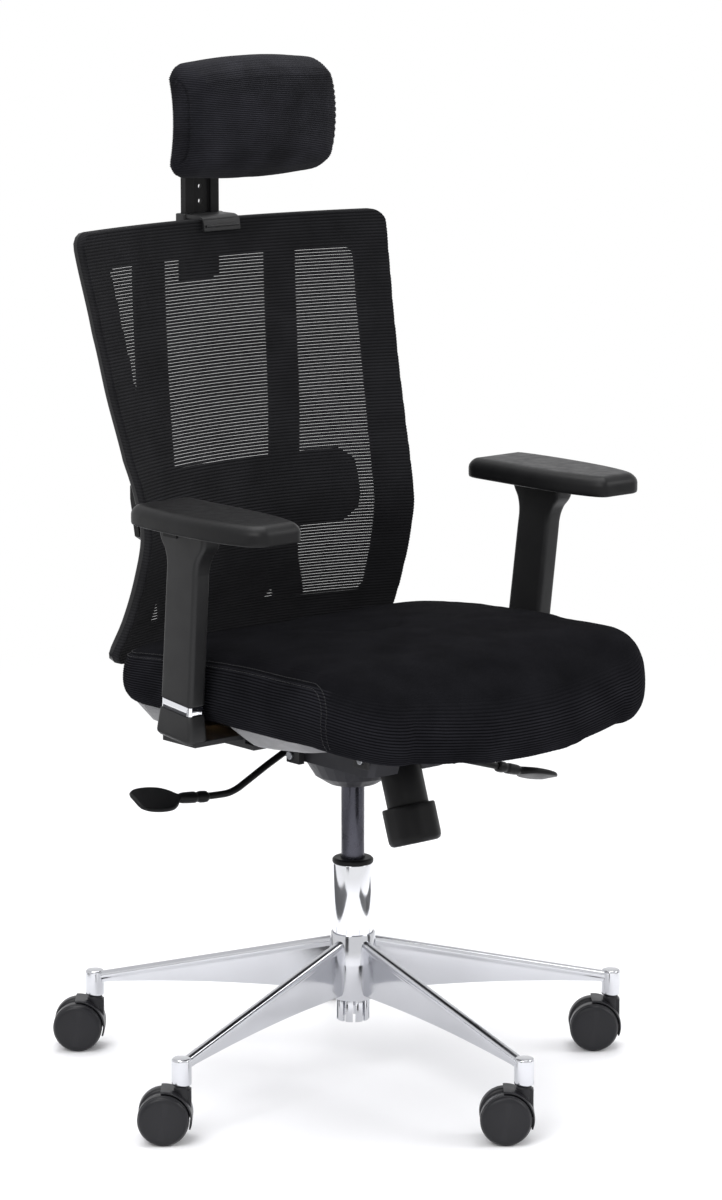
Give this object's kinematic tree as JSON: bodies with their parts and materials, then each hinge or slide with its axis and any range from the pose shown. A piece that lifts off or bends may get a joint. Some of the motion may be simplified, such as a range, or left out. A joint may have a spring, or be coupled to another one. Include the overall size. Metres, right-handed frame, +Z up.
{
  "type": "swivel office chair",
  "caption": "High-back mesh office chair with headrest, height-adjustable arms, tilting seat and back, gas lift and polished star base on casters.",
  "frame": {"origin": "middle of the footprint on the floor", "axes": "+Z up, the sitter faces -Y, +X is the sitter's left"},
  "size_m": [0.716, 0.6996, 1.221],
  "materials": {
    "polished_aluminium": "polished",
    "chrome": "polished",
    "piston_steel": "gunmetal",
    "cast_housing": "satin",
    "painted_steel": "satin",
    "plain_steel": "machined",
    "black_plastic": "fine texture",
    "grey_plastic": "satin",
    "arm_pad": "soft polyurethane",
    "caster_plastic": "satin",
    "seat_fabric": "knit",
    "headrest_fabric": "ribbed knit",
    "back_mesh": "open ribbed mesh",
    "plywood": "raw"
  },
  "bodies": {
    "base": {"base_star": "polished_aluminium", "lift_outer_tube": "chrome", "lift_guide_bush": "black_plastic", "thrust_bearing": "plain_steel"},
    "caster_1": {"caster_1_hood": "caster_plastic"},
    "caster_1_wheel_a": {"caster_1_wheel_a": "caster_plastic"},
    "caster_1_wheel_b": {"caster_1_wheel_b": "caster_plastic"},
    "caster_2": {"caster_2_hood": "caster_plastic"},
    "caster_2_wheel_a": {"caster_2_wheel_a": "caster_plastic"},
    "caster_2_wheel_b": {"caster_2_wheel_b": "caster_plastic"},
    "caster_3": {"caster_3_hood": "caster_plastic"},
    "caster_3_wheel_a": {"caster_3_wheel_a": "caster_plastic"},
    "caster_3_wheel_b": {"caster_3_wheel_b": "caster_plastic"},
    "caster_4": {"caster_4_hood": "caster_plastic"},
    "caster_4_wheel_a": {"caster_4_wheel_a": "caster_plastic"},
    "caster_4_wheel_b": {"caster_4_wheel_b": "caster_plastic"},
    "caster_5": {"caster_5_hood": "caster_plastic"},
    "caster_5_wheel_a": {"caster_5_wheel_a": "caster_plastic"},
    "caster_5_wheel_b": {"caster_5_wheel_b": "caster_plastic"},
    "lift_rod": {"piston_rod": "plain_steel"},
    "chassis": {"gas_cylinder": "piston_steel", "mechanism_housing": "cast_housing", "seat_pivot_pin": "plain_steel", "back_pivot_pin": "plain_steel", "spring_tube": "black_plastic", "tension_spring": "plain_steel"},
    "valve": {"valve_button": "plain_steel"},
    "height_lever": {"height_lever_rod": "painted_steel", "height_lever_paddle": "black_plastic"},
    "tilt_lever": {"tilt_lever_rod": "painted_steel", "tilt_lever_paddle": "black_plastic"},
    "tension_screw": {"tension_knob": "black_plastic", "tension_bolt": "plain_steel"},
    "tension_follower": {"tension_nut": "plain_steel"},
    "seat": {"seat_bracket": "painted_steel", "seat_pan": "grey_plastic", "seat_board": "plywood", "seat_cushion": "seat_fabric", "left_arm_bracket": "painted_steel", "left_arm_cover": "black_plastic", "left_arm_trim": "chrome", "right_arm_bracket": "painted_steel", "right_arm_cover": "black_plastic", "right_arm_trim": "chrome"},
    "left_arm": {"left_arm_sleeve": "black_plastic", "left_arm_pad": "arm_pad"},
    "left_button": {"left_arm_button": "black_plastic"},
    "right_arm": {"right_arm_sleeve": "black_plastic", "right_arm_pad": "arm_pad"},
    "right_button": {"right_arm_button": "black_plastic"},
    "back": {"back_bracket": "painted_steel", "left_upright": "black_plastic", "right_upright": "black_plastic", "back_frame": "black_plastic", "back_mesh": "back_mesh", "headrest_bracket": "black_plastic"},
    "lumbar": {"lumbar_pad": "black_plastic"},
    "headrest_post": {"headrest_stem": "black_plastic"},
    "headrest": {"headrest_shell": "black_plastic", "headrest_cushion": "headrest_fabric"}
  },
  "joints": [
    {"name": "caster_1_swivel", "type": "hinge", "parent": "base", "child": "caster_1", "pos_m": [0.23871, 0.26793, 0.06], "axis": [0, 0, 1], "continuous": true},
    {"name": "caster_1_wheel_a_spin", "type": "hinge", "parent": "caster_1", "child": "caster_1_wheel_a", "pos_m": [0.22274, 0.28157, 0.03], "axis": [0.6494, 0.7604, 0], "continuous": true},
    {"name": "caster_1_wheel_b_spin", "type": "hinge", "parent": "caster_1", "child": "caster_1_wheel_b", "pos_m": [0.22274, 0.28157, 0.03], "axis": [0.6494, 0.7604, 0], "continuous": true},
    {"name": "caster_2_swivel", "type": "hinge", "parent": "base", "child": "caster_2", "pos_m": [-0.15389, 0.29883, 0.06], "axis": [0, 0, 1], "continuous": true},
    {"name": "caster_2_wheel_a_spin", "type": "hinge", "parent": "caster_2", "child": "caster_2_wheel_a", "pos_m": [-0.16986, 0.31247, 0.03], "axis": [0.6494, 0.7604, 0], "continuous": true},
    {"name": "caster_2_wheel_b_spin", "type": "hinge", "parent": "caster_2", "child": "caster_2_wheel_b", "pos_m": [-0.16986, 0.31247, 0.03], "axis": [0.6494, 0.7604, 0], "continuous": true},
    {"name": "caster_3_swivel", "type": "hinge", "parent": "base", "child": "caster_3", "pos_m": [-0.3046, -0.06501, 0.06], "axis": [0, 0, 1], "continuous": true},
    {"name": "caster_3_wheel_a_spin", "type": "hinge", "parent": "caster_3", "child": "caster_3_wheel_a", "pos_m": [-0.32056, -0.05137, 0.03], "axis": [0.6494, 0.7604, 0], "continuous": true},
    {"name": "caster_3_wheel_b_spin", "type": "hinge", "parent": "caster_3", "child": "caster_3_wheel_b", "pos_m": [-0.32056, -0.05137, 0.03], "axis": [0.6494, 0.7604, 0], "continuous": true},
    {"name": "caster_4_swivel", "type": "hinge", "parent": "base", "child": "caster_4", "pos_m": [-0.00514, -0.32077, 0.06], "axis": [0, 0, 1], "continuous": true},
    {"name": "caster_4_wheel_a_spin", "type": "hinge", "parent": "caster_4", "child": "caster_4_wheel_a", "pos_m": [-0.0211, -0.30713, 0.03], "axis": [0.6494, 0.7604, 0], "continuous": true},
    {"name": "caster_4_wheel_b_spin", "type": "hinge", "parent": "caster_4", "child": "caster_4_wheel_b", "pos_m": [-0.0211, -0.30713, 0.03], "axis": [0.6494, 0.7604, 0], "continuous": true},
    {"name": "caster_5_swivel", "type": "hinge", "parent": "base", "child": "caster_5", "pos_m": [0.33065, -0.115, 0.06], "axis": [0, 0, 1], "continuous": true},
    {"name": "caster_5_wheel_a_spin", "type": "hinge", "parent": "caster_5", "child": "caster_5_wheel_a", "pos_m": [0.31468, -0.10136, 0.03], "axis": [0.6494, 0.7604, 0], "continuous": true},
    {"name": "caster_5_wheel_b_spin", "type": "hinge", "parent": "caster_5", "child": "caster_5_wheel_b", "pos_m": [0.31468, -0.10136, 0.03], "axis": [0.6494, 0.7604, 0], "continuous": true},
    {"name": "seat_swivel", "type": "hinge", "parent": "base", "child": "lift_rod", "pos_m": [0.02115, 0.0132, 0.112], "axis": [0, 0, 1], "continuous": true},
    {"name": "seat_height", "type": "slide", "parent": "lift_rod", "child": "chassis", "axis": [0, 0, 1], "range_m": [-0.085, 0.015]},
    {"name": "height_lever_lift", "type": "hinge", "parent": "chassis", "child": "height_lever", "pos_m": [-0.04085, 0.0632, 0.3995], "axis": [0, 1, 0], "range_deg": [0, 3]},
    {"name": "valve_press", "type": "slide", "parent": "chassis", "child": "valve", "axis": [0, 0, -1], "range_m": [0, 0.003]},
    {"name": "tilt_lever_turn", "type": "hinge", "parent": "chassis", "child": "tilt_lever", "pos_m": [0.08315, -0.0368, 0.3984], "axis": [0.9578, 0, -0.2873], "range_deg": [0, 35]},
    {"name": "tension_knob_turn", "type": "hinge", "parent": "chassis", "child": "tension_screw", "pos_m": [0.02115, -0.0708, 0.4], "axis": [0, -0.3173, -0.9483], "range_deg": [0, 3600]},
    {"name": "tension_nut_travel", "type": "slide", "parent": "chassis", "child": "tension_follower", "axis": [0, -0.3173, -0.9483], "range_m": [0, 0.014], "deforming": ["tension_spring"]},
    {"name": "back_recline", "type": "hinge", "parent": "chassis", "child": "back", "pos_m": [0.02115, 0.0432, 0.399], "axis": [-1, 0, 0], "range_deg": [0, 20], "stiffness_Nm_per_rad": 90, "springref_deg": -20.05},
    {"name": "seat_tilt", "type": "hinge", "parent": "chassis", "child": "seat", "pos_m": [0.02115, -0.0788, 0.413], "axis": [-1, 0, 0], "range_deg": [0, 5]},
    {"name": "left_arm_height", "type": "slide", "parent": "seat", "child": "left_arm", "axis": [0.026, -0.108, 0.9938], "range_m": [0, 0.07]},
    {"name": "left_arm_button_press", "type": "slide", "parent": "left_arm", "child": "left_button", "axis": [-1, 0, 0], "range_m": [0, 0.003], "stiffness_N_per_m": 400, "springref_m": -0.001},
    {"name": "right_arm_height", "type": "slide", "parent": "seat", "child": "right_arm", "axis": [-0.026, -0.108, 0.9938], "range_m": [0, 0.07]},
    {"name": "right_arm_button_press", "type": "slide", "parent": "right_arm", "child": "right_button", "axis": [1, 0, 0], "range_m": [0, 0.003], "stiffness_N_per_m": 400, "springref_m": -0.001},
    {"name": "lumbar_height", "type": "slide", "parent": "back", "child": "lumbar", "axis": [0, 0, 1], "range_m": [-0.02, 0.02]},
    {"name": "headrest_height", "type": "slide", "parent": "back", "child": "headrest_post", "axis": [0, 0, 1], "range_m": [-0.03, 0.03]},
    {"name": "headrest_tilt", "type": "hinge", "parent": "headrest_post", "child": "headrest", "pos_m": [0.02115, 0.3002, 1.136], "axis": [-1, 0, 0], "range_deg": [-20, 20]}
  ],
  "couplings": [
    {"joint": "seat_tilt", "follows": "back_recline", "ratio": 0.25},
    {"joint": "valve_press", "follows": "height_lever_lift", "m_per_rad": 0.057},
    {"joint": "tension_nut_travel", "follows": "tension_knob_turn", "m_per_rad": 0.00022}
  ]
}
